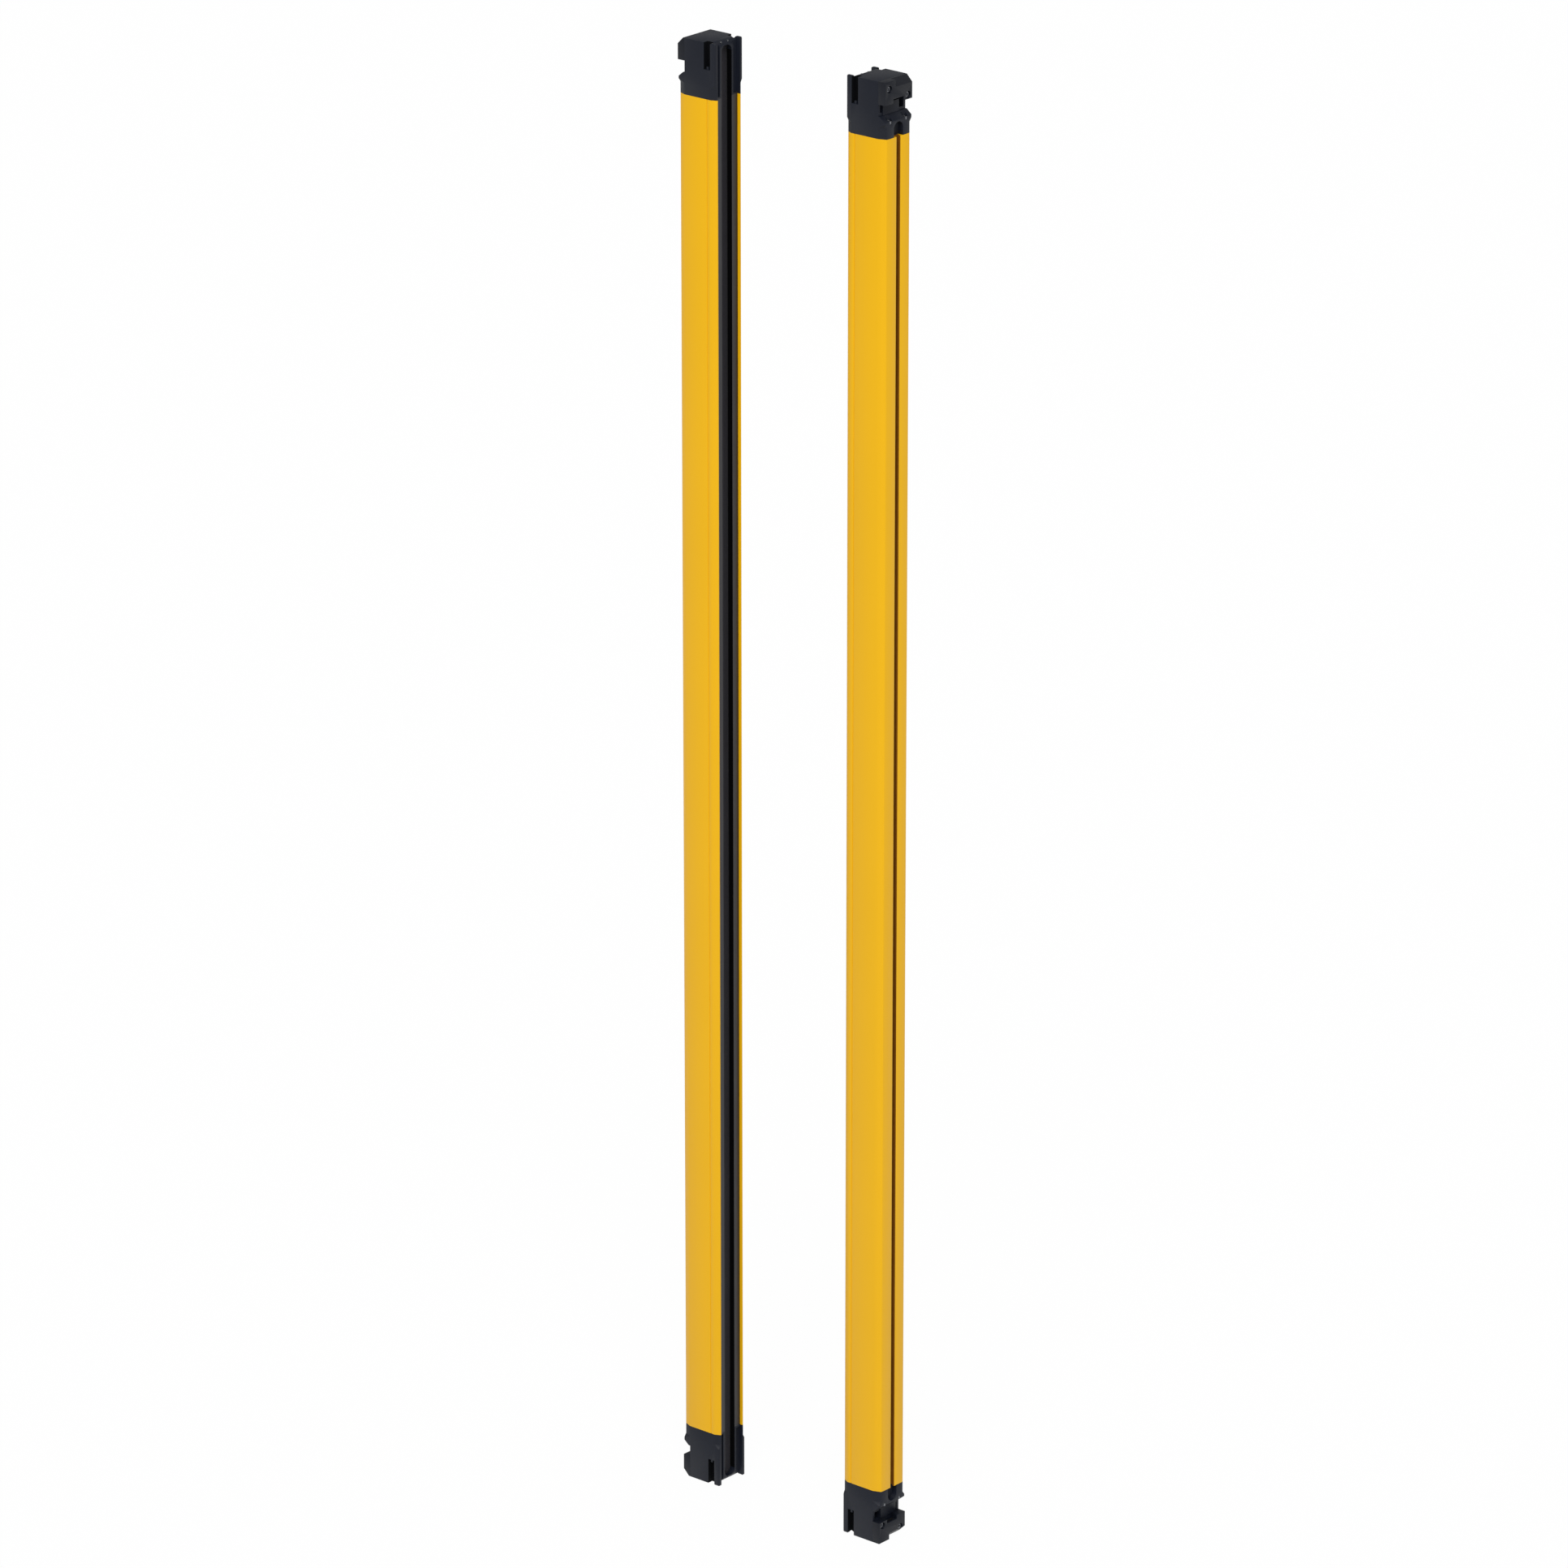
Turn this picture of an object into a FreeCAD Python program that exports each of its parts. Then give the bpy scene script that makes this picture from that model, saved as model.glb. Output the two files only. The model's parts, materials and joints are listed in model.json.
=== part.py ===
"""Safety light curtain: an emitter bar and a receiver bar that stand face to face.

Each bar is an extruded aluminium housing with a window along its front, an optical row behind
the window, and a moulded cap with a screwed-on rear cover at either end.  Both bars hold the same
parts.  A bar is drawn in a frame of its own: +X is the way its window looks, with the front plane
at X = 0 and the back at -body_depth, Y runs across it and Z up it.  A cap is drawn in a frame
whose Z = 0 is its joint with the housing and whose +Z points out of the bar.
The assembly stands on Z = 0 with the beams along X and the origin midway between the bars.
"""
import FreeCAD, Part
import math
import os

import Sketcher
from FreeCAD import Placement, Rotation, Vector

# ---------------------------------------------------------------- driving sizes, millimetres
SIZES = {
    # whole bar
    "body_width": 33.0,
    "body_depth": 39.0,
    "profile_length": 1148.0,
    "cap_height": 46.0,
    "window_gap": 135.0,
    # housing extrusion
    "front_corner_width": 2.4,
    "front_corner_depth": 4.8,
    "back_corner_width": 2.7,
    "back_corner_depth": 7.0,
    "back_edge_width": 2.2,
    "back_edge_depth": 0.4,
    "side_wall": 1.8,
    "lip_width": 0.9,
    "shoulder_width": 1.6,
    "shoulder_thickness": 1.8,
    "back_web": 7.7,
    "slot_mouth": 4.6,
    "slot_width": 8.4,
    "slot_lip": 1.8,
    "slot_depth": 4.6,
    "side_groove_place": 8.1,
    "side_groove_width": 1.0,
    "side_groove_depth": 0.4,
    "port_spacing": 18.8,
    "port_inset": 2.5,
    "port_diameter": 3.0,
    # window, its rails and its gasket
    "rail_setback": 2.5,
    "rail_thickness": 2.0,
    "rail_wall": 1.4,
    "recess_width": 12.4,
    "window_setback": 7.9,
    "window_thickness": 2.0,
    "window_overlap": 3.2,
    "gasket_thickness": 0.6,
    "gasket_width": 1.2,
    # optical row
    "beam_pitch": 30.0,
    "beam_margin": 18.0,
    "lens_size": 10.0,
    "lens_plate": 1.4,
    "lens_curve": 14.0,
    "lens_seat": 3.2,
    "carrier_width": 20.0,
    "carrier_depth": 14.0,
    "flange_thickness": 1.6,
    "tunnel_size": 8.0,
    "board_thickness": 1.6,
    "board_gap": 0.7,
    "diode_size": 3.2,
    "diode_height": 1.2,
    "chip_size": 7.0,
    "chip_height": 1.0,
    # end cap
    "cap_base": 9.0,
    "cap_flare": 3.0,
    "cap_edge": 0.8,
    "front_round": 6.0,
    "rim_width": 2.0,
    "recess_end": 42.0,
    "recess_round": 5.0,
    "fin_width": 3.1,
    "fin_slot_depth": 3.8,
    "fin_slot_start": 1.5,
    "side_slot_place": 5.3,
    "side_slot_width": 6.5,
    "side_slot_depth": 5.0,
    "side_slot_length": 22.0,
    "stop_width": 2.0,
    "stop_height": 2.5,
    "notch_start": 18.0,
    "notch_end": 27.5,
    "boss_reach": 11.7,
    "boss_return": 7.6,
    "boss_height": 1.0,
    "pocket_start": 20.3,
    "pocket_wall": 2.4,
    "pocket_depth": 6.0,
    "lip_bevel_depth": 5.4,
    "lip_bevel_height": 4.5,
    "run_in_width": 11.0,
    "run_in_height": 12.0,
    "cavity_place": 13.2,
    "cavity_width": 13.2,
    "cavity_back_wall": 3.8,
    "cavity_end_wall": 7.0,
    "ribbon_gate_width": 13.0,
    "ribbon_gate_height": 3.0,
    # rear cover of the cap
    "cover_depth": 7.0,
    "cover_bevel": 5.5,
    "cover_block": 3.5,
    "cover_wall": 2.0,
    "bay_width": 15.0,
    "bay_end_wall": 4.0,
    "cut_out_width": 12.6,
    "cut_out_height": 3.4,
    # plug-in socket
    "socket_height": 9.5,
    "socket_wall": 1.1,
    "pin_pitch": 1.6,
    "pin_size": 0.6,
    "pin_length": 5.0,
    "ribbon_width": 12.0,
    "ribbon_thickness": 0.3,
    # fasteners, light guides, clearance
    "joint_gasket": 0.8,
    "joint_gasket_grip": 0.9,
    "cap_screw_diameter": 2.9,
    "cap_screw_head": 5.0,
    "cap_screw_head_height": 2.4,
    "cap_screw_seat": 11.6,
    "cap_screw_grip": 12.0,
    "cover_screw_diameter": 2.4,
    "cover_screw_head": 4.4,
    "cover_screw_head_height": 1.8,
    "cover_screw_setback": 1.4,
    "cover_screw_recess": 5.8,
    "cover_screw_near": 10.8,
    "cover_screw_high": 39.6,
    "cover_screw_far": 11.8,
    "cover_screw_low": 31.0,
    "cover_screw_grip": 3.0,
    "light_guide_diameter": 1.6,
    "light_guide_spacing": 8.0,
    "light_guide_place": 44.4,
    "light_guide_length": 6.0,
    "clearance": 0.1,
}


class Size:
    """A length held twice: as a number, and as the sheet formula that gives it."""

    def __init__(self, value, formula=None):
        self.value = value
        self.formula = repr(value) if formula is None else formula

    def joined(self, other, sign, value):
        return Size(value, f"({self.formula} {sign} {as_size(other).formula})")

    def __add__(self, other):
        return self.joined(other, "+", self.value + as_size(other).value)

    def __sub__(self, other):
        return self.joined(other, "-", self.value - as_size(other).value)

    def __mul__(self, other):
        return self.joined(other, "*", self.value * as_size(other).value)

    def __truediv__(self, other):
        return self.joined(other, "/", self.value / as_size(other).value)

    def __neg__(self):
        return as_size(0) - self


def as_size(number):
    return number if isinstance(number, Size) else Size(float(number))


doc = FreeCAD.newDocument("light_curtain")
sheet = doc.addObject("Spreadsheet::Sheet", "Sizes")
for row, (alias, number) in enumerate(SIZES.items(), start=1):
    sheet.set(f"A{row}", alias.replace("_", " "))
    sheet.set(f"B{row}", str(number))
    sheet.setAlias(f"B{row}", alias)
doc.recompute()


def size(alias):
    return Size(float(getattr(sheet, alias)), f"Sizes.{alias}")


# ---------------------------------------------------------------- sizes that follow from them
half_width = size("body_width") / 2
depth = size("body_depth")
bottom_joint = size("cap_height")
top_joint = bottom_joint + size("profile_length")

channel_half = half_width - size("front_corner_width") - size("lip_width")
rail_back = size("rail_setback") + size("rail_thickness")
throat_half = channel_half - size("shoulder_width")
chamber_front = rail_back + size("shoulder_thickness")
chamber_half = half_width - size("side_wall")
chamber_back = depth - size("back_web")
port_depth = depth - size("port_inset")
port_half = size("port_spacing") / 2

recess_half = size("recess_width") / 2
window_half = recess_half + size("window_overlap")
window_front = size("window_setback")
window_back = window_front + size("window_thickness")
gasket_front = window_front - size("gasket_thickness")
window_reach = size("recess_end") + size("gasket_width")

lens_half = size("lens_size") / 2
carrier_half = size("carrier_width") / 2
carrier_back = window_back + size("carrier_depth")
board_back = carrier_back + size("board_thickness")
board_half = chamber_half - size("board_gap")
optics_end = size("clearance") * 10

fin_inside = half_width - size("fin_width")
rim_half = recess_half + size("rim_width")
flare_top = size("cap_base") + size("cap_flare")
cover_front = depth - size("cover_depth")
cavity_half = size("cavity_width") / 2
cavity_back = cover_front - size("cavity_back_wall")
cavity_end = size("cap_height") - size("cavity_end_wall")
bay_half = size("bay_width") / 2
bay_back = depth - size("cover_wall")
bay_end = size("cap_height") - size("bay_end_wall")
socket_half = bay_half - size("clearance")
socket_front = cover_front + size("clearance")
socket_back = bay_back - size("clearance")
socket_foot = bay_end - size("socket_height")
gate_level = cavity_end - size("ribbon_gate_height") / 2

cover_seat = depth - size("cover_screw_setback") - size("cover_screw_head_height")
joint_half = chamber_half + size("joint_gasket_grip")
joint_front = window_back + size("clearance") * 5
joint_back = chamber_back + size("joint_gasket_grip")

COVER_SCREWS = [
    (size("cover_screw_near"), size("cover_screw_high")),
    (-size("cover_screw_far"), size("cover_screw_low")),
]
BLOCK_SIDES = {"top": 1, "bottom": -1}
OVERCUT = 1.0
SIDES = (1, -1)


# ---------------------------------------------------------------- drawing helpers
def bind(item, name, value):
    """Set a property and tie it to the sheet."""
    value = as_size(value)
    item.setExpression(name, value.formula)


def new_body(node):
    body = doc.addObject("PartDesign::Body", node)
    body.Label = node
    return body


def new_sketch(body, name, plane, level=0):
    """An empty sketch on one of the body's own origin planes, moved along the plane's normal."""
    sketch = body.newObject("Sketcher::SketchObject", f"{body.Name}_{name}")
    support = [item for item in body.Origin.OriginFeatures if item.Role == plane][0]
    sketch.AttachmentSupport = [(support, "")]
    sketch.MapMode = "FlatFace"
    bind(sketch, "AttachmentOffset.Base.z", level)
    return sketch


def fix_point(sketch, geometry, corner, along, across):
    """Hold one point of a sketch at its two distances from the origin."""
    for kind, place in (("DistanceX", along), ("DistanceY", across)):
        place = as_size(place)
        rule = Sketcher.Constraint(kind, -1, 1, geometry, corner, place.value)
        index = sketch.addConstraint(rule)
        sketch.setExpression(f"Constraints[{index}]", place.formula)


def polygon(body, name, plane, points, level=0):
    """A closed outline of straight lines through points given in the sketch's own axes."""
    sketch = new_sketch(body, name, plane, level)
    places = [Vector(as_size(a).value, as_size(b).value, 0) for a, b in points]
    for index, start in enumerate(places):
        end = places[(index + 1) % len(places)]
        sketch.addGeometry(Part.LineSegment(start, end))
    for index in range(len(places)):
        following = (index + 1) % len(places)
        sketch.addConstraint(Sketcher.Constraint("Coincident", index, 2, following, 1))
    for index, (along, across) in enumerate(points):
        fix_point(sketch, index, 1, along, across)
    return sketch


def rectangle(body, name, plane, low, high, level=0):
    points = [(low[0], low[1]), (high[0], low[1]), (high[0], high[1]), (low[0], high[1])]
    return polygon(body, name, plane, points, level)


def circles(body, name, plane, centres, diameter, level=0):
    sketch = new_sketch(body, name, plane, level)
    diameter = as_size(diameter)
    for index, (along, across) in enumerate(centres):
        centre = Vector(as_size(along).value, as_size(across).value, 0)
        sketch.addGeometry(Part.Circle(centre, Vector(0, 0, 1), diameter.value / 2))
        fix_point(sketch, index, 3, along, across)
        rule = sketch.addConstraint(Sketcher.Constraint("Diameter", index, diameter.value))
        sketch.setExpression(f"Constraints[{rule}]", diameter.formula)
    return sketch


def extrude(body, kind, sketch, length, reverse, both):
    before = body.Shape.Volume if body.Tip else 0.0
    feature = body.newObject(f"PartDesign::{kind}", f"{sketch.Name}_{kind.lower()}")
    feature.Profile = sketch
    feature.SideType = "Symmetric" if both else "One side"
    feature.Reversed = reverse
    bind(feature, "Length", length)
    body.Tip = feature
    doc.recompute()
    if "Invalid" in feature.State:
        raise RuntimeError(f"{feature.Name}: {feature.getStatusString()}")
    change = body.Shape.Volume - before
    if (change < 0.001) if kind == "Pad" else (change > -0.001):
        raise RuntimeError(f"{feature.Name} changes nothing")
    return feature


def pad(body, sketch, length, reverse=False, both=False):
    return extrude(body, "Pad", sketch, length, reverse, both)


def cut(body, sketch, length, reverse=False, both=False):
    return extrude(body, "Pocket", sketch, length, reverse, both)


def round_edges(body, radius, chosen):
    """Round the edges of the body that the test picks out."""
    base = body.Tip
    names = [f"Edge{n}" for n, edge in enumerate(base.Shape.Edges, start=1) if chosen(edge)]
    feature = body.newObject("PartDesign::Fillet", f"{base.Name}_round")
    feature.Base = (base, names)
    bind(feature, "Radius", radius)
    body.Tip = feature
    doc.recompute()
    if not names or "Invalid" in feature.State:
        raise RuntimeError(f"{feature.Name}: {feature.getStatusString()}")
    return feature


def edge_at(edge, **places):
    """Whether every end of a straight edge lies at the places named x, y or z."""
    if not isinstance(edge.Curve, Part.Line):
        return False
    return all(
        abs(abs(getattr(vertex.Point, axis)) - place.value) < 0.01
        for vertex in edge.Vertexes
        for axis, place in places.items()
    )


def group(node, solids):
    """Loose solids of one kind, kept as one node."""
    item = doc.addObject("Part::Feature", node)
    item.Label = node
    item.Shape = Part.makeCompound(solids)
    return item


def block(low, high):
    low = [as_size(value).value for value in low]
    high = [as_size(value).value for value in high]
    return Part.makeBox(*[b - a for a, b in zip(low, high)], Vector(*low))


def rod(foot, direction, diameter, length):
    foot = Vector(*[as_size(value).value for value in foot])
    return Part.makeCylinder(as_size(diameter).value / 2, as_size(length).value, foot, direction)


BACK = Vector(-1, 0, 0)
UP = Vector(0, 0, 1)


# ---------------------------------------------------------------- places in the assembly
def place(item, bar, end="bar"):
    """Stand a piece in its bar: the emitter looks along +X and the receiver back at it, and a
    bottom cap is a top cap turned half round about X."""
    emitter = bar == "emitter"
    upright = end != "bottom"
    if upright:
        turn = Rotation() if emitter else Rotation(Vector(0, 0, 1), 180)
    else:
        turn = Rotation(Vector(1, 0, 0), 180) if emitter else Rotation(Vector(0, 1, 0), 180)
    reach = size("window_gap") / 2
    across = -reach if emitter else reach
    height = {"bar": as_size(0), "top": top_joint, "bottom": bottom_joint}[end]
    item.Placement = Placement(Vector(across.value, 0, height.value), turn)
    if item.TypeId != "Part::Feature":
        bind(item, "Placement.Base.x", across)
        bind(item, "Placement.Base.z", height)
    return item


# ---------------------------------------------------------------- pieces that run along the bar
def mirrored(points):
    """An outline made of the points given on the +Y side and their images on the other."""
    return points + [(along, -across) for along, across in reversed(points)]


def outline(front_width, front_depth, back_width, back_depth, edge_width, edge_depth):
    """Outer section of the bar: a rectangle with each corner cut, the back ones twice."""
    return mirrored([
        (as_size(0), half_width - front_width),
        (-front_depth, half_width),
        (-(depth - back_depth), half_width),
        (-(depth - edge_depth), half_width - back_width),
        (-depth, half_width - back_width - edge_width),
    ])


def profile_outline():
    return outline(
        size("front_corner_width"), size("front_corner_depth"), size("back_corner_width"),
        size("back_corner_depth"), size("back_edge_width"), size("back_edge_depth"))


def make_profile(node):
    """The extruded housing: open channel in front, chamber within, T-slot behind."""
    groove = size("side_groove_place")
    groove_end = groove + size("side_groove_width")
    groove_floor = half_width - size("side_groove_depth")
    mouth = size("slot_mouth") / 2
    slot = size("slot_width") / 2
    slot_back = depth - size("slot_lip")
    slot_front = depth - size("slot_depth")
    shell = profile_outline()[:5]
    section = [
        (-chamber_back, chamber_half),
        (-chamber_front, chamber_half),
        (-chamber_front, throat_half),
        (-rail_back, throat_half),
        (-rail_back, channel_half),
        (as_size(0), channel_half),
        shell[0],
        shell[1],
        (-groove, half_width),
        (-groove, groove_floor),
        (-groove_end, groove_floor),
        (-groove_end, half_width),
        shell[2],
        shell[3],
        shell[4],
        (-depth, mouth),
        (-slot_back, mouth),
        (-slot_back, slot),
        (-slot_front, slot),
    ]
    body = new_body(node)
    pad(body, polygon(body, "section", "XY_Plane", mirrored(section), bottom_joint),
        size("profile_length"))
    ports = [(-port_depth, port_half), (-port_depth, -port_half)]
    cut(body, circles(body, "ports", "XY_Plane", ports, size("port_diameter"), top_joint),
        size("profile_length"))
    return body


def make_rail(node, side):
    """One of the two black strips that line the front channel and hem the window."""
    outer = channel_half - size("clearance")
    inner = recess_half + size("rail_wall")
    points = [
        (-size("rail_setback"), recess_half * side),
        (-size("rail_setback"), outer * side),
        (-rail_back, outer * side),
        (-rail_back, inner * side),
        (-gasket_front, inner * side),
        (-gasket_front, recess_half * side),
    ]
    body = new_body(node)
    pad(body, polygon(body, "section", "XY_Plane", points, bottom_joint), size("profile_length"))
    return body


def make_window(node):
    """The long dark window, one strip from cap to cap."""
    body = new_body(node)
    strip = rectangle(body, "section", "XY_Plane", (-window_back, -window_half),
                      (-window_front, window_half), bottom_joint - window_reach)
    pad(body, strip, size("profile_length") + window_reach * 2)
    return body


def make_window_gasket(node):
    """The ring of rubber between the window and the rails and caps in front of it."""
    body = new_body(node)
    outer = recess_half + size("gasket_width")
    reach = window_reach
    ring = rectangle(body, "ring", "YZ_Plane", (-outer, bottom_joint - reach),
                     (outer, top_joint + reach), -gasket_front)
    pad(body, ring, size("gasket_thickness"), reverse=True)
    opening = rectangle(body, "opening", "YZ_Plane",
                        (-recess_half, bottom_joint - size("recess_end")),
                        (recess_half, top_joint + size("recess_end")), -gasket_front)
    cut(body, opening, size("gasket_thickness"))
    return body


def beam_levels():
    """Heights of the beams, spread evenly about the middle of the housing."""
    pitch = size("beam_pitch").value
    room = size("profile_length").value - 2 * size("beam_margin").value
    count = int(room // pitch) + 1
    middle = (bottom_joint + size("profile_length") / 2).value
    return [as_size(middle + (index - (count - 1) / 2) * pitch) for index in range(count)]


def make_carrier(node, levels):
    """The black chassis behind the window: a light tunnel and a lens seat for each beam."""
    start = bottom_joint + optics_end
    length = size("profile_length") - optics_end * 2
    flange_front = carrier_back - size("flange_thickness")
    wing = chamber_half - size("clearance")
    seat = lens_half + size("clearance")
    seat_back = window_back + size("lens_seat")
    points = mirrored([
        (-window_back, carrier_half),
        (-flange_front, carrier_half),
        (-flange_front, wing),
        (-carrier_back, wing),
    ])
    body = new_body(node)
    pad(body, polygon(body, "section", "XY_Plane", points, start), length)
    first = levels[0]
    tunnel = size("tunnel_size") / 2
    for name, half, front, run in (
            ("seat", seat, window_back, size("lens_seat")),
            ("tunnel", tunnel, seat_back, carrier_back - seat_back)):
        sketch = rectangle(body, name, "YZ_Plane", (-half, first - half), (half, first + half), -front)
        pocket = cut(body, sketch, run)
        row = body.newObject("PartDesign::LinearPattern", f"{sketch.Name}_row")
        row.Originals = [pocket]
        row.Direction = (sketch, ["V_Axis"])
        row.Mode = "Spacing"
        bind(row, "Offset", size("beam_pitch"))
        row.Occurrences = len(levels)
        body.Tip = row
        doc.recompute()
    return body


def make_lenses(node, levels):
    """Square plano-convex lenses, one to a beam, flat side to the diode."""
    half = lens_half.value
    front = -window_back.value - size("clearance").value
    back = -(window_back + size("lens_seat")).value
    ball = size("lens_curve").value
    lenses = []
    for level in levels:
        stock = Part.makeBox(front - back, 2 * half, 2 * half, Vector(back, -half, level.value - half))
        sphere = Part.makeSphere(ball, Vector(front - ball, 0, level.value))
        lenses.append(stock.common(sphere).Solids[0])
    return group(node, lenses)


def make_board(node):
    """The circuit board, screwed flat against the back of the carrier."""
    body = new_body(node)
    start = bottom_joint + optics_end
    section = rectangle(body, "section", "XY_Plane", (-board_back, -board_half),
                        (-carrier_back, board_half), start)
    pad(body, section, size("profile_length") - optics_end * 2)
    return body


def make_diodes(node, levels):
    """The light source or light sensor of each beam, on the board at the end of its tunnel."""
    half = size("diode_size") / 2
    front = carrier_back - size("diode_height")
    return group(node, [
        block((-carrier_back, -half, level - half), (-front, half, level + half))
        for level in levels
    ])


def make_chips(node, levels):
    """Control chips on the back of the board: two at either end of the row of beams."""
    half = size("chip_size") / 2
    back = board_back + size("chip_height")
    return group(node, [
        block((-back, -half, level - half), (-board_back, half, level + half))
        for level in (levels[1], levels[2], levels[-3], levels[-2])
    ])


# ---------------------------------------------------------------- end caps
def make_cap(node):
    """Moulded end cap.  Its foot has the section of the housing and flares to square corners.
    Two fins stand at the front corners between a front slot and a side slot, where a swivel
    bracket grips.  The window's recess ends in it with round corners, and a notch for the plug
    crosses its back under the rear cover."""
    body = new_body(node)
    top = size("cap_height")
    edge = size("cap_edge")
    square = outline(edge, edge, edge, edge, edge, edge / 4)

    pad(body, polygon(body, "foot", "XY_Plane", profile_outline()), size("cap_base"))
    low = polygon(body, "flare_low", "XY_Plane", profile_outline(), size("cap_base"))
    high = polygon(body, "flare_high", "XY_Plane", square, flare_top)
    flare = body.newObject("PartDesign::AdditiveLoft", f"{node}_flare")
    flare.Profile = low
    flare.Sections = [high]
    flare.Ruled = True
    body.Tip = flare
    doc.recompute()
    pad(body, polygon(body, "upper", "XY_Plane", square, flare_top), top - flare_top)

    cut_back(body, top)
    cut_front(body, top)
    cut_inside(body)
    return body


def cut_back(body, top):
    """Seat of the rear cover, the notch with its boss and a deep pocket on either side of it, the
    bevelled lip and the screw holes."""
    lip_top = size("notch_start")
    beyond = depth + OVERCUT
    step = [
        (-cover_front, top + OVERCUT),
        (-cover_front, lip_top),
        (-(depth - size("lip_bevel_depth")), lip_top),
        (-depth, lip_top - size("lip_bevel_height")),
        (-beyond, lip_top - size("lip_bevel_height")),
        (-beyond, top + OVERCUT),
    ]
    cut(body, polygon(body, "notch", "XZ_Plane", step), size("body_width") + OVERCUT * 2, both=True)
    boss_back = cover_front + size("boss_height")
    boss = rectangle(body, "boss", "XY_Plane", (-boss_back, -size("boss_return")),
                     (-cover_front, size("boss_reach")), lip_top)
    pad(body, boss, size("notch_end") - lip_top)
    outside = half_width - size("pocket_wall")
    for name, low, high in (
            ("near", size("boss_reach"), outside),
            ("far", -outside, -size("boss_return"))):
        pocket = rectangle(body, f"pocket_{name}", "YZ_Plane", (low, size("pocket_start")),
                           (high, size("notch_end")), -cover_front)
        cut(body, pocket, size("pocket_depth"), reverse=True)

    ports = [(-port_depth, port_half), (-port_depth, -port_half)]
    screw_hole = size("cap_screw_diameter") + size("clearance")
    screw_seat = size("cap_screw_seat")
    cut(body, circles(body, "screw_holes", "XY_Plane", ports, screw_hole, lip_top), lip_top)
    head_hole = size("cap_screw_head") + size("clearance") * 4
    cut(body, circles(body, "screw_seats", "XY_Plane", ports, head_hole, screw_seat),
        lip_top - screw_seat, reverse=True)
    cover_holes = circles(body, "cover_holes", "YZ_Plane", COVER_SCREWS,
                          size("cover_screw_diameter") + size("clearance"), -cover_front)
    cut(body, cover_holes, size("cover_screw_grip"), reverse=True)

    run_in = size("run_in_width") / 2
    arch = size("run_in_height") - run_in
    cut(body, rectangle(body, "run_in", "YZ_Plane", (-run_in, -OVERCUT), (run_in, arch), -depth),
        size("slot_depth"), reverse=True)
    cut(body, circles(body, "run_in_end", "YZ_Plane", [(0, arch)], size("run_in_width"), -depth),
        size("slot_depth"), reverse=True)


def cut_front(body, top):
    """The set-back front with its round end, the fin slots, the side slots and the recess."""
    setback = size("rail_setback")
    front = rectangle(body, "setback", "XZ_Plane", (-setback, -OVERCUT), (OVERCUT, top + OVERCUT))
    cut(body, front, fin_inside * 2, both=True)
    round_edges(body, size("front_round"),
                lambda edge: edge_at(edge, x=setback, z=top) and edge.Length > fin_inside.value)
    for side in SIDES:
        name = "left" if side > 0 else "right"
        slot = rectangle(body, f"fin_slot_{name}", "XY_Plane",
                         (-size("fin_slot_depth"), rim_half * side),
                         (OVERCUT, fin_inside * side), size("fin_slot_start"))
        cut(body, slot, top, reverse=True)
        slot = rectangle(body, f"side_slot_{name}", "XY_Plane",
                         (-(size("side_slot_place") + size("side_slot_width")),
                          (half_width - size("side_slot_depth")) * side),
                         (-size("side_slot_place"), (half_width + OVERCUT) * side),
                         top - size("side_slot_length"))
        cut(body, slot, top, reverse=True)
        middle = size("side_slot_place") + size("side_slot_width") / 2
        stop = rectangle(body, f"stop_{name}", "XY_Plane",
                         (-(middle + size("stop_width") / 2),
                          (half_width - size("side_slot_depth")) * side),
                         (-(middle - size("stop_width") / 2), (half_width - size("cap_edge")) * side),
                         top - size("side_slot_length"))
        pad(body, stop, size("stop_height"))
    bend = size("recess_round")
    turn = size("recess_end") - bend
    corners = [((recess_half - bend) * side, turn) for side in SIDES]
    for sketch in (
            rectangle(body, "recess", "YZ_Plane", (-recess_half, -OVERCUT), (recess_half, turn)),
            rectangle(body, "recess_end", "YZ_Plane", (-(recess_half - bend), -OVERCUT),
                      (recess_half - bend, size("recess_end")))):
        cut(body, sketch, gasket_front)
    for side, corner in zip(("left", "right"), corners):
        cut(body, circles(body, f"recess_{side}", "YZ_Plane", [corner], bend * 2), gasket_front)


def cut_inside(body):
    """Seats of the gasket, window and light guides, and the space for the board's ribbon."""
    outer = recess_half + size("gasket_width")
    seat = rectangle(body, "gasket_seat", "YZ_Plane", (-outer, -OVERCUT), (outer, window_reach),
                     -window_front)
    cut(body, seat, size("gasket_thickness"), reverse=True)
    seat = rectangle(body, "window_seat", "YZ_Plane", (-window_half, -OVERCUT),
                     (window_half, window_reach), -window_back)
    cut(body, seat, size("window_thickness"), reverse=True)
    guides = [(size("light_guide_spacing") / 2 * side, size("light_guide_place"))
              for side in SIDES]
    cut(body, circles(body, "light_guides", "YZ_Plane", guides, size("light_guide_diameter")),
        size("rail_setback") + size("light_guide_length"))
    cavity = rectangle(body, "cavity", "XY_Plane", (-cavity_back, -cavity_half),
                       (-size("cavity_place"), cavity_half))
    cut(body, cavity, cavity_end, reverse=True)
    gate_half = size("ribbon_gate_width") / 2
    gate = rectangle(body, "ribbon_gate", "YZ_Plane",
                     (-gate_half, cavity_end - size("ribbon_gate_height")),
                     (gate_half, cavity_end), -cover_front)
    cut(body, gate, cover_front - cavity_back, reverse=True)
    seat = rectangle(body, "joint_seat", "XY_Plane", (-joint_back, -joint_half),
                     (-joint_front, joint_half))
    cut(body, seat, size("joint_gasket"), reverse=True)


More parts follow.
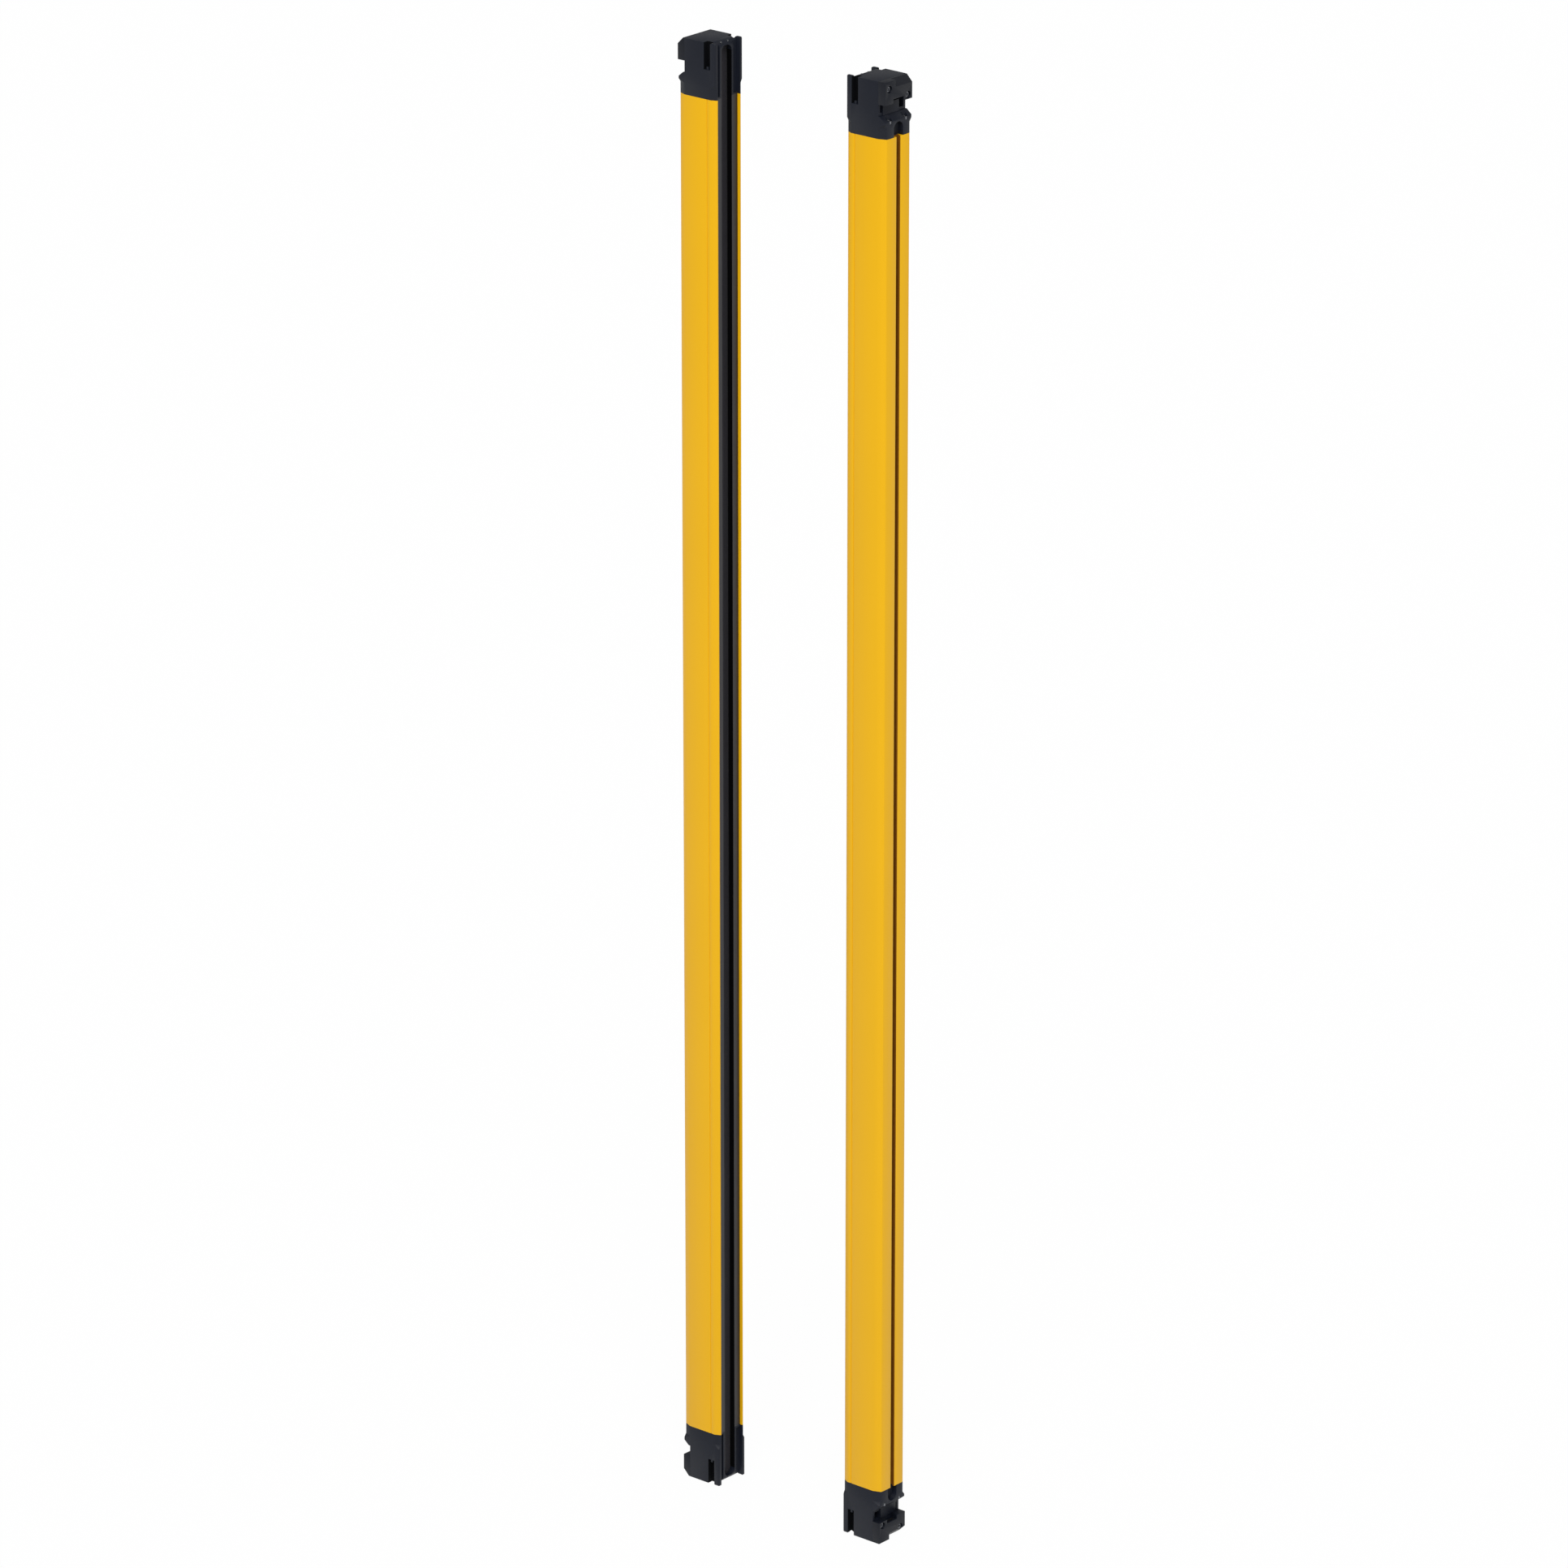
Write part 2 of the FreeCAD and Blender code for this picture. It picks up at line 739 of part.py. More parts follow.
def make_joint_gasket(node):
    """The rubber ring let into the cap's foot, pressed against the end of the housing."""
    body = new_body(node)
    ring = rectangle(body, "ring", "XY_Plane", (-joint_back, -joint_half),
                     (-joint_front, joint_half))
    pad(body, ring, size("joint_gasket"))
    opening = rectangle(body, "opening", "XY_Plane", (-cavity_back, -cavity_half),
                        (-size("cavity_place"), cavity_half))
    cut(body, opening, size("joint_gasket"), reverse=True)
    return body


def make_cover(node, block_side):
    """Rear cover of the cap: hollow over the socket and open to the notch.  Its end is bevelled,
    but for a square block on one side."""
    top = size("cap_height")
    bevel = size("cover_bevel")
    body = new_body(node)
    slab = rectangle(body, "slab", "XZ_Plane", (-depth, size("notch_end")), (-cover_front, top))
    pad(body, slab, size("body_width"), both=True)
    wedge = [
        (-(depth + OVERCUT), top - bevel - OVERCUT),
        (-(depth + OVERCUT), top + OVERCUT),
        (-(depth - bevel - OVERCUT), top + OVERCUT),
    ]
    reach = half_width + size("cover_block")
    middle = (half_width - size("cover_block") + OVERCUT) / 2 * block_side
    cut(body, polygon(body, "wedge", "XZ_Plane", wedge, middle), reach + OVERCUT, both=True)
    bay = rectangle(body, "bay", "YZ_Plane", (-bay_half, size("notch_end") - OVERCUT),
                    (bay_half, bay_end), -cover_front)
    cut(body, bay, bay_back - cover_front)
    gap = size("cut_out_width") / 2
    cut_out = rectangle(body, "cut_out", "YZ_Plane", (-gap, size("notch_end") - OVERCUT),
                        (gap, size("notch_end") + size("cut_out_height")), -bay_back)
    cut(body, cut_out, depth - bay_back)
    holes = circles(body, "holes", "YZ_Plane", COVER_SCREWS,
                    size("cover_screw_diameter") + size("clearance"), -cover_front)
    cut(body, holes, size("cover_depth"))
    seats = circles(body, "seats", "YZ_Plane", COVER_SCREWS, size("cover_screw_recess"), -depth)
    cut(body, seats, depth - cover_seat, reverse=True)
    return body


def make_socket(node):
    """Plug-in socket in the cover's bay: a shell open towards the notch."""
    body = new_body(node)
    shell = rectangle(body, "shell", "XY_Plane", (-socket_back, -socket_half),
                      (-socket_front, socket_half), socket_foot)
    pad(body, shell, size("socket_height"))
    wall = size("socket_wall")
    mouth = rectangle(body, "mouth", "XY_Plane", (-(socket_back - wall), -(socket_half - wall)),
                      (-(socket_front + wall), socket_half - wall), socket_foot)
    cut(body, mouth, size("socket_height") - wall * 2, reverse=True)
    return body


def make_pins(node):
    """Contact pins of the socket, one row."""
    half = size("pin_size") / 2
    middle = (socket_front + socket_back) / 2
    root = socket_foot + size("socket_height") - size("socket_wall") * 2
    pins = []
    for index in range(-3, 5):
        across = size("pin_pitch") * (index - 0.5)
        pins.append(block((-(middle + half), across - half, root - size("pin_length")),
                          (-(middle - half), across + half, root)))
    return group(node, pins)


def make_ribbon(node):
    """Flat ribbon from the end of the board, up inside the cap and back to the socket."""
    half = size("ribbon_width") / 2
    thick = size("ribbon_thickness")
    path = [
        (-board_back, -optics_end * 3),
        (-(board_back + thick), -optics_end * 3),
        (-(board_back + thick), gate_level - thick),
        (-socket_front, gate_level - thick),
        (-socket_front, gate_level),
        (-board_back, gate_level),
    ]
    body = new_body(node)
    pad(body, polygon(body, "path", "XZ_Plane", path), half * 2, both=True)
    return body


def make_light_guides(node):
    """Two clear light guides that show the bar's state on the round end of its front."""
    radius = size("front_round").value
    rise = size("light_guide_place").value - (size("cap_height").value - radius)
    surface = -size("rail_setback").value - radius + math.sqrt(radius ** 2 - rise ** 2)
    spread = size("light_guide_spacing").value / 2
    length = size("light_guide_length").value + size("rail_setback").value + surface
    return group(node, [
        rod((surface, spread * side, size("light_guide_place")), BACK,
            size("light_guide_diameter"), length)
        for side in SIDES
    ])


# ---------------------------------------------------------------- fasteners
def in_cap(solid, end):
    """Move a solid drawn in the cap's frame to its place in the bar."""
    height = (top_joint if end == "top" else bottom_joint).value
    turn = Rotation() if end == "top" else Rotation(Vector(1, 0, 0), 180)
    moved = solid.copy()
    moved.Placement = Placement(Vector(0, 0, height), turn)
    return moved


def make_cap_screws(node):
    """Four screws, two to a cap, that run through the lip into the ports of the housing."""
    seat = size("cap_screw_seat")
    shank = seat + size("cap_screw_grip")
    screws = []
    for end in ("top", "bottom"):
        for side in SIDES:
            axis = (-port_depth, port_half * side)
            head = rod((*axis, seat), UP, size("cap_screw_head"), size("cap_screw_head_height"))
            stem = rod((*axis, -size("cap_screw_grip")), UP, size("cap_screw_diameter"), shank)
            screws.append(in_cap(head.fuse(stem).removeSplitter().Solids[0], end))
    return group(node, screws)


def make_cover_screws(node):
    """Four screws, two to a rear cover."""
    tip = cover_front - size("cover_screw_grip") + size("clearance") * 2
    screws = []
    for end in ("top", "bottom"):
        for across, level in COVER_SCREWS:
            head = rod((-cover_seat, across, level), BACK, size("cover_screw_head"),
                       size("cover_screw_head_height"))
            stem = rod((-tip, across, level), BACK, size("cover_screw_diameter"), cover_seat - tip)
            screws.append(in_cap(head.fuse(stem).removeSplitter().Solids[0], end))
    return group(node, screws)


# ---------------------------------------------------------------- the two bars
def build_bar(bar):
    levels = beam_levels()
    diode = "leds" if bar == "emitter" else "photodiodes"
    along = [
        make_profile(f"{bar}_housing"),
        make_rail(f"{bar}_rail_left", 1),
        make_rail(f"{bar}_rail_right", -1),
        make_window(f"{bar}_window"),
        make_window_gasket(f"{bar}_window_gasket"),
        make_carrier(f"{bar}_optics_carrier", levels),
        make_lenses(f"{bar}_lenses", levels),
        make_board(f"{bar}_circuit_board"),
        make_diodes(f"{bar}_{diode}", levels),
        make_chips(f"{bar}_control_chips", levels),
        make_cap_screws(f"{bar}_cap_screws"),
        make_cover_screws(f"{bar}_cover_screws"),
    ]
    pieces = [place(item, bar) for item in along]
    for end in ("top", "bottom"):
        ended = [
            make_cap(f"{bar}_{end}_cap"),
            make_joint_gasket(f"{bar}_{end}_cap_gasket"),
            make_cover(f"{bar}_{end}_rear_cover", BLOCK_SIDES[end]),
            make_socket(f"{bar}_{end}_socket"),
            make_pins(f"{bar}_{end}_contact_pins"),
            make_ribbon(f"{bar}_{end}_ribbon"),
        ]
        if end == "top":
            ended.append(make_light_guides(f"{bar}_light_guides"))
        pieces += [place(item, bar, end) for item in ended]
    return pieces


nodes = build_bar("emitter") + build_bar("receiver")
doc.recompute()

for item in doc.Objects:
    if {"Invalid", "Error"} & set(item.State):
        raise RuntimeError(f"{item.Name} failed: {item.State}")
for item in nodes:
    if item.Shape.isNull() or not item.Shape.isValid():
        raise RuntimeError(f"{item.Label} has no sound shape")

os.makedirs("parts", exist_ok=True)
for item in nodes:
    item.Shape.exportStep(f"parts/{item.Label}.step")
    box = item.Shape.BoundBox
    print(f"{item.Label:32s} solids {len(item.Shape.Solids):3d}  volume {item.Shape.Volume:10.1f}  "
          f"x {box.XMin:7.1f} {box.XMax:7.1f}  y {box.YMin:6.1f} {box.YMax:6.1f}  "
          f"z {box.ZMin:7.1f} {box.ZMax:7.1f}")
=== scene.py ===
# %% [markdown]
# # A safety light curtain, dressed for its picture
# A light curtain is two tall bars that stand face to face.  One sends a row of infrared beams and
# the other watches for them.  The solids come from CAD; here they get soft edges, real screws and
# the finishes of powder coat, glass-filled nylon and dark acrylic.  Lengths are in metres.

import json
import math

import bpy
from mathutils import Matrix, Vector

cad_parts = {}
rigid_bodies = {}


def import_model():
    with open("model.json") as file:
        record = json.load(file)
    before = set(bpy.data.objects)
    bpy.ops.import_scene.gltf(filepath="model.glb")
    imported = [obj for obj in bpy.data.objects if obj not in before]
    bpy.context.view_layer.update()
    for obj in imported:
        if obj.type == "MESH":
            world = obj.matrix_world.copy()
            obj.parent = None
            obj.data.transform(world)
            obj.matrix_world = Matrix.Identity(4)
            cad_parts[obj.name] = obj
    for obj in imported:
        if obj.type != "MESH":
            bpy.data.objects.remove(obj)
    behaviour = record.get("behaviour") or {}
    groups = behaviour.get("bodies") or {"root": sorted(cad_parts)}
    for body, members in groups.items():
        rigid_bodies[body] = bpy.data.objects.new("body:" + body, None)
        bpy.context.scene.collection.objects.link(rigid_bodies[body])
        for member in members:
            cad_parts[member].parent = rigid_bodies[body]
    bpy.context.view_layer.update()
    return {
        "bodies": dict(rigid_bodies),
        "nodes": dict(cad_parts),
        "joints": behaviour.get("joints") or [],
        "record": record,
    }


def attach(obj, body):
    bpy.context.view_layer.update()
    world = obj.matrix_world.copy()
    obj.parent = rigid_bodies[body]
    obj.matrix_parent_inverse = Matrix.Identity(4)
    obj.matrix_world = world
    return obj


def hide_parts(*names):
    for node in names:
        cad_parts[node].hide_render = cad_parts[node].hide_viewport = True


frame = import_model()
bpy.ops.object.select_all(action="DESELECT")

MM = 0.001
BARS = ("emitter", "receiver")
ENDS = ("top", "bottom")
nodes = frame["nodes"]
print("nodes loaded:", len(nodes))

# %% [markdown]
# ## Where things are in a cap
# Both bars and both ends carry the same cap, turned.  One function turns a place measured in a cap
# (depth behind the window side, distance across, height above the joint) into a place in the scene,
# so that a screw is described once and lands correctly in all four caps.

# %% Places in a cap
window_side = nodes["receiver_housing"].bound_box
HALF_GAP = min(corner[0] for corner in window_side)
JOINT = {
    "bottom": min(corner[2] for corner in window_side),
    "top": max(corner[2] for corner in window_side),
}


def cap_frame(bar, end):
    """Matrix from a cap's own axes (out of the window, across, away from the joint) to the scene."""
    turn = Matrix.Identity(4)
    if end == "bottom":
        turn = Matrix.Rotation(math.pi, 4, "X")
    if bar == "receiver":
        turn = Matrix.Rotation(math.pi, 4, "Z") @ turn
    side = -HALF_GAP if bar == "emitter" else HALF_GAP
    return Matrix.Translation((side, 0, JOINT[end])) @ turn


print("half the gap between the windows:", round(HALF_GAP / MM, 2), "mm")
print("joints at", {end: round(z / MM, 1) for end, z in JOINT.items()}, "mm")

# %% [markdown]
# ## Camera
# Long thin things look best through a long lens, which keeps their edges nearly parallel.  The
# camera stands seven metres back, looks down by 20 degrees, and sees one bar from its window side
# and the other from behind.

# %% Camera
AZIMUTH = math.radians(40.6)
ELEVATION = math.radians(20.0)
DISTANCE = 7.0
AIM_HEIGHT = 0.6344
AIM_TO_THE_LEFT = 0.0079
LENS = 199.7
toward_camera = Vector((
    math.sin(AZIMUTH) * math.cos(ELEVATION),
    -math.cos(AZIMUTH) * math.cos(ELEVATION),
    math.sin(ELEVATION),
))
sideways = Vector((math.cos(AZIMUTH), math.sin(AZIMUTH), 0))
aim = Vector((0, 0, AIM_HEIGHT)) - sideways * AIM_TO_THE_LEFT
bpy.ops.object.camera_add(location=aim + toward_camera * DISTANCE)
camera = bpy.context.object
camera.rotation_euler = (-toward_camera).to_track_quat("-Z", "Y").to_euler()
camera.data.lens = LENS
camera.data.clip_end = 50
bpy.context.scene.camera = camera
bpy.context.scene.view_settings.view_transform = "Standard"
print("camera at", [round(value, 3) for value in camera.location])

# %% [markdown]
# ## Studio
# A big bright room gives soft light from everywhere, and one broad sun, high behind the camera,
# models the corners.  The floor is plain and pale.  What the camera sees of it is lifted towards
# white by the Light Path node, so the light on the bars themselves stays at a plain level.

# %% Helpers for materials
def linear(code):
    """Linear colour of an sRGB hex code such as 'e8b419'."""
    parts = [int(code[place:place + 2], 16) / 255 for place in (0, 2, 4)]
    return tuple(
        part / 12.92 if part <= 0.04045 else ((part + 0.055) / 1.055) ** 2.4 for part in parts
    ) + (1.0,)


def add(tree, kind, settings=None, links=None):
    """Add a node, give it its settings and sockets' values, and link its inputs."""
    made = tree.nodes.new(kind)
    for name, value in (settings or {}).items():
        if isinstance(name, int) or name in made.inputs:
            made.inputs[name].default_value = value
        else:
            setattr(made, name, value)
    for name, source in (links or {}).items():
        tree.links.new(source, made.inputs[name])
    return made


def new_material(name, settings):
    """A Principled material and its parts: the material, its tree, shader and coordinates."""
    material = bpy.data.materials.new(name)
    material.use_nodes = True
    tree = material.node_tree
    shader = tree.nodes["Principled BSDF"]
    for socket, value in settings.items():
        shader.inputs[socket].default_value = value
    place = add(tree, "ShaderNodeTexCoord").outputs["Object"]
    return material, tree, shader, place


def blend_colours(tree, factor, first, second):
    """A colour that goes from the first to the second as the factor goes from 0 to 1."""
    mix = add(tree, "ShaderNodeMix", {"data_type": "RGBA", 6: linear(first), 7: linear(second)})
    tree.links.new(factor, mix.inputs[0])
    return mix.outputs[2]


def steer(tree, factor, low, high):
    """A number that goes from low to high as the factor goes from 0.3 to 0.7."""
    spread = add(tree, "ShaderNodeMapRange", {
        "From Min": 0.3, "From Max": 0.7, "To Min": low, "To Max": high}, {"Value": factor})
    return spread.outputs["Result"]


def per_length(length):
    """Scale of a pattern whose features are this long."""
    return 1.0 / length


# %% Floor, room light and sun
FLOOR_SIZE = 60
FLOOR_LIFT = 0.97
ROOM_STRENGTH = 0.46
SUN_STRENGTH = 2.0

bpy.ops.mesh.primitive_plane_add(size=FLOOR_SIZE, location=(0, 0, 0))
floor = bpy.context.object
floor.name = "floor"
paper, paper_tree, paper_shader, paper_place = new_material("matt_white_paper", {
    "Roughness": 0.9, "Specular IOR Level": 0.1})
fibre = add(paper_tree, "ShaderNodeTexNoise", {"Scale": per_length(4 * MM), "Detail": 3.0},
            {"Vector": paper_place})
paper_tree.links.new(blend_colours(paper_tree, fibre.outputs["Fac"], "f4f4f4", "f7f7f7"),
                     paper_shader.inputs["Base Color"])
seen = add(paper_tree, "ShaderNodeLightPath")
seen_or_mirrored = add(paper_tree, "ShaderNodeMath", {"operation": "MAXIMUM"}, {
    0: seen.outputs["Is Camera Ray"], 1: seen.outputs["Is Glossy Ray"]})
lift = add(paper_tree, "ShaderNodeMath", {"operation": "MULTIPLY", 1: FLOOR_LIFT}, {
    0: seen_or_mirrored.outputs["Value"]})
glow = add(paper_tree, "ShaderNodeEmission", {"Color": (1, 1, 1, 1), "Strength": 1.0})
both = add(paper_tree, "ShaderNodeMixShader", None, {
    0: lift.outputs["Value"], 1: paper_shader.outputs["BSDF"], 2: glow.outputs["Emission"]})
paper_tree.links.new(both.outputs["Shader"], paper_tree.nodes["Material Output"].inputs["Surface"])
floor.data.materials.append(paper)

world = bpy.data.worlds.new("studio")
bpy.context.scene.world = world
world.use_nodes = True
sky = world.node_tree
room = sky.nodes["Background"]
room.inputs["Color"].default_value = (1, 1, 1, 1)
room.inputs["Strength"].default_value = ROOM_STRENGTH
white = add(sky, "ShaderNodeBackground", {"Color": (1, 1, 1, 1), "Strength": 1.0})
ray = add(sky, "ShaderNodeLightPath")
choice = add(sky, "ShaderNodeMixShader", None, {
    0: ray.outputs["Is Camera Ray"], 1: room.outputs["Background"], 2: white.outputs["Background"]})
sky.links.new(choice.outputs["Shader"], sky.nodes["World Output"].inputs["Surface"])

bpy.ops.object.light_add(type="SUN", rotation=(math.radians(42), 0, math.radians(38)))
sun = bpy.context.object
sun.data.energy = SUN_STRENGTH
sun.data.angle = math.radians(30)

# %% [markdown]
# ## Powder coat on extruded aluminium
# The housing is aluminium pushed through a die, cut to length and powder coated in safety yellow.
# Powder melts and flows in the oven, which leaves a satin skin with a shallow orange peel about a
# millimetre and a half across.  The colour drifts very slightly over long distances.  Inside the
# T-slot the yellow is painted a dull brown: painted shade for the shade that falls in the narrow
# slot.

# %% Powder coat
coat, tree, shader, place = new_material("yellow_powder_coat", {
    "Roughness": 0.42, "IOR": 1.5, "Specular IOR Level": 0.25})
drift = add(tree, "ShaderNodeTexNoise", {"Scale": per_length(120 * MM), "Detail": 2.0},
            {"Vector": place})
tree.links.new(blend_colours(tree, drift.outputs["Fac"], "e8b000", "edb404"),
               shader.inputs["Base Color"])
peel = add(tree, "ShaderNodeTexNoise", {"Scale": per_length(1.5 * MM), "Detail": 1.5},
           {"Vector": place})
tree.links.new(steer(tree, peel.outputs["Fac"], 0.38, 0.46), shader.inputs["Roughness"])
bump = add(tree, "ShaderNodeBump", {"Strength": 0.25, "Distance": 0.02 * MM},
           {"Height": peel.outputs["Fac"]})
tree.links.new(bump.outputs["Normal"], shader.inputs["Normal"])


def brown_slot_shade():
    """Painted shade for the inside of the T-slot: a dull, patchy brown in place of the lit yellow.
    """
    material, tree, shader, place = new_material("painted_shade_in_t_slot", {
        "Roughness": 0.55, "Specular IOR Level": 0.2})
    patchy = add(tree, "ShaderNodeTexNoise", {"Scale": per_length(6 * MM), "Detail": 3.0},
                 {"Vector": place})
    # Painted shade: these browns stand in for the shade inside the T-slot.
    tree.links.new(blend_colours(tree, patchy.outputs["Fac"], "7a4a0c", "8f5a12"),
                   shader.inputs["Base Color"])
    return material


slot_shade_paint = brown_slot_shade()
print("made", coat.name, "and", slot_shade_paint.name)

# %% [markdown]
# ## Glass-filled nylon
# The caps are injection moulded from nylon with chopped glass, in a mould whose walls were spark
# eroded.  That leaves an even, fine grain and a dull sheen; the glass shows as a faint mottling.

# %% Nylon
def spark_eroded_nylon(name, dark, pale):
    """Moulded nylon with an even grain of a third of a millimetre."""
    material, tree, shader, place = new_material(name, {
        "Roughness": 0.5, "IOR": 1.53, "Specular IOR Level": 0.24})
    mottle = add(tree, "ShaderNodeTexNoise", {"Scale": per_length(2.5 * MM), "Detail": 4.0},
                 {"Vector": place})
    tree.links.new(blend_colours(tree, mottle.outputs["Fac"], dark, pale),
                   shader.inputs["Base Color"])
    grain = add(tree, "ShaderNodeTexNoise", {"Scale": per_length(0.35 * MM), "Detail": 2.0},
                {"Vector": place})
    tree.links.new(steer(tree, grain.outputs["Fac"], 0.45, 0.58), shader.inputs["Roughness"])
    bump = add(tree, "ShaderNodeBump", {"Strength": 0.35, "Distance": 0.03 * MM},
               {"Height": grain.outputs["Fac"]})
    tree.links.new(bump.outputs["Normal"], shader.inputs["Normal"])
    return material


cap_nylon = spark_eroded_nylon("spark_eroded_nylon_cap", "0f131e", "131824")
cover_nylon = spark_eroded_nylon("spark_eroded_nylon_cover", "0c1019", "10141e")
print("made", cap_nylon.name, "and", cover_nylon.name)

# %% [markdown]
# ## Extruded and moulded blacks
# The strips beside the window are extruded too, in a soft black plastic, so their grain is drawn
# out along the bar.  A Mapping node stretches the noise that way.  The chassis, the sockets and the
# chips are plain mouldings, each with a grain of its own size.  The walls of the window's recess
# are painted near black, painted shade for the shade that falls there, and the side slots of the
# caps get the same painted shade.

# %% Strips beside the window
strip, tree, shader, place = new_material("extruded_black_plastic", {
    "Roughness": 0.45, "IOR": 1.54})
drawn = add(tree, "ShaderNodeMapping", {"Scale": (1, 1, 0.02)}, {"Vector": place})
lines = add(tree, "ShaderNodeTexNoise", {"Scale": per_length(0.6 * MM), "Detail": 2.0},
            {"Vector": drawn.outputs["Vector"]})
tree.links.new(blend_colours(tree, lines.outputs["Fac"], "141318", "1a191e"),
               shader.inputs["Base Color"])
tree.links.new(steer(tree, lines.outputs["Fac"], 0.38, 0.5), shader.inputs["Roughness"])
bump = add(tree, "ShaderNodeBump", {"Strength": 0.2, "Distance": 0.02 * MM},
           {"Height": lines.outputs["Fac"]})
tree.links.new(bump.outputs["Normal"], shader.inputs["Normal"])
print("made", strip.name)


# %% Plain mouldings and rubber
def moulding(name, dark, pale, roughness, grain_size, specular=0.5):
    """A plain moulded plastic or rubber with a fine grain, or a near-black painted shade made the
    same way.
    """
    material, tree, shader, place = new_material(name, {
        "Roughness": roughness, "Specular IOR Level": specular})
    grain = add(tree, "ShaderNodeTexNoise", {"Scale": per_length(grain_size), "Detail": 2.0},
                {"Vector": place})
    tree.links.new(blend_colours(tree, grain.outputs["Fac"], dark, pale),
                   shader.inputs["Base Color"])
    bump = add(tree, "ShaderNodeBump", {"Strength": 0.2, "Distance": 0.02 * MM},
               {"Height": grain.outputs["Fac"]})
    tree.links.new(bump.outputs["Normal"], shader.inputs["Normal"])
    return material


chassis_black = moulding("moulded_polycarbonate_black", "111113", "17171a", 0.6, 0.4 * MM)
socket_black = moulding("moulded_polyester_black", "131315", "1a1a1c", 0.5, 0.3 * MM)
chip_black = moulding("epoxy_moulding_compound", "18181a", "202022", 0.55, 0.2 * MM)
rubber = moulding("nitrile_rubber_black", "141415", "1c1c1d", 0.75, 0.25 * MM)
# Painted shade: near black for the walls of the window's recess, where shade falls.
recess_shade_paint = moulding("painted_shade_in_recess", "040405", "070708", 0.95, 0.15 * MM, 0.05)
# Painted shade: near black for the insides of the caps' side slots, where shade falls.
side_slot_shade_paint = moulding("painted_shade_in_side_slot", "06070a", "090a0d", 0.8, 0.2 * MM, 0.08)
print("made", [item.name for item in (
    chassis_black, socket_black, chip_black, rubber, recess_shade_paint, side_slot_shade_paint)])

# %% [markdown]
# ## Window
# The window is cast acrylic dyed so deeply that it lets infrared through and almost no visible
# light.  Its colour is lifted to a dark grey, partly a painted reflection of the bright room.  Cast
# sheet is flat but never perfect: a slow ripple along its length bends the reflections a little.

# %% Window acrylic
window_acrylic, tree, shader, place = new_material("infrared_pass_acrylic", {
    "Roughness": 0.12, "IOR": 1.49})
haze = add(tree, "ShaderNodeTexNoise", {"Scale": per_length(40 * MM), "Detail": 3.0},
           {"Vector": place})
# Dark grey base: the acrylic's own near black with a painted reflection of the room added.
tree.links.new(blend_colours(tree, haze.outputs["Fac"], "323135", "37363a"),
               shader.inputs["Base Color"])
tree.links.new(steer(tree, haze.outputs["Fac"], 0.12, 0.18), shader.inputs["Roughness"])
bump = add(tree, "ShaderNodeBump", {"Strength": 0.1, "Distance": 0.05 * MM},
           {"Height": haze.outputs["Fac"]})
tree.links.new(bump.outputs["Normal"], shader.inputs["Normal"])
print("made", window_acrylic.name)

# %% [markdown]
# ## Metal, clear plastic, laminate and film
# The screws are zinc plated, a grey metal with a slightly mottled crystal.  The pins are gold
# flashed.  Lenses and light guides are clear acrylic, the board is glass laminate under a green
# mask, and the ribbon is amber polyimide with copper strips inside it.

# %% Screws and pins
def plated(name, dark, pale, roughness, crystal):
    """A plated metal with crystals of a given size."""
    material, tree, shader, place = new_material(name, {"Metallic": 1.0, "Roughness": roughness})
    spangle = add(tree, "ShaderNodeTexVoronoi", {"Scale": per_length(crystal)}, {"Vector": place})
    cells = spangle.outputs["Color"]
    tree.links.new(blend_colours(tree, cells, dark, pale), shader.inputs["Base Color"])
    tree.links.new(steer(tree, cells, roughness - 0.05, roughness + 0.08),
                   shader.inputs["Roughness"])
    return material


zinc = plated("bright_zinc_plate", "6a6c71", "808287", 0.3, 0.4 * MM)
gold = plated("gold_flashed_brass", "c9a24a", "d9b35c", 0.25, 0.3 * MM)
print("made", zinc.name, "and", gold.name)


# %% Clear plastics
def clear_plastic(name, tint, edge, roughness):
    """Polished acrylic that passes light and is faintly tinted."""
    material, tree, shader, place = new_material(name, {
        "Roughness": roughness, "IOR": 1.49, "Transmission Weight": 0.9})
    flow = add(tree, "ShaderNodeTexNoise", {"Scale": per_length(3 * MM), "Detail": 1.0},
               {"Vector": place})
    tree.links.new(blend_colours(tree, flow.outputs["Fac"], tint, edge),
                   shader.inputs["Base Color"])
    return material


lens_acrylic = clear_plastic("polished_clear_acrylic", "eef2f4", "f6f8f9", 0.05)
guide_acrylic = clear_plastic("frosted_clear_acrylic", "dfe6e8", "eef2f3", 0.35)
diode_epoxy = clear_plastic("smoked_epoxy", "3a3a46", "4a4a56", 0.15)
print("made", [item.name for item in (lens_acrylic, guide_acrylic, diode_epoxy)])

# %% Board and ribbon
board_laminate, tree, shader, place = new_material("green_masked_glass_laminate", {
    "Roughness": 0.35, "IOR": 1.5})
tracks = add(tree, "ShaderNodeTexWave", {
    "wave_type": "BANDS", "bands_direction": "Y", "Scale": per_length(6.0 * MM), "Distortion": 1.2,
    "Detail": 2.0}, {"Vector": place})
copper_edge = add(tree, "ShaderNodeMapRange", {
    "From Min": 0.62, "From Max": 0.68}, {"Value": tracks.outputs["Fac"]})
tree.links.new(blend_colours(tree, copper_edge.outputs["Result"], "0f4a24", "1c6a36"),
               shader.inputs["Base Color"])

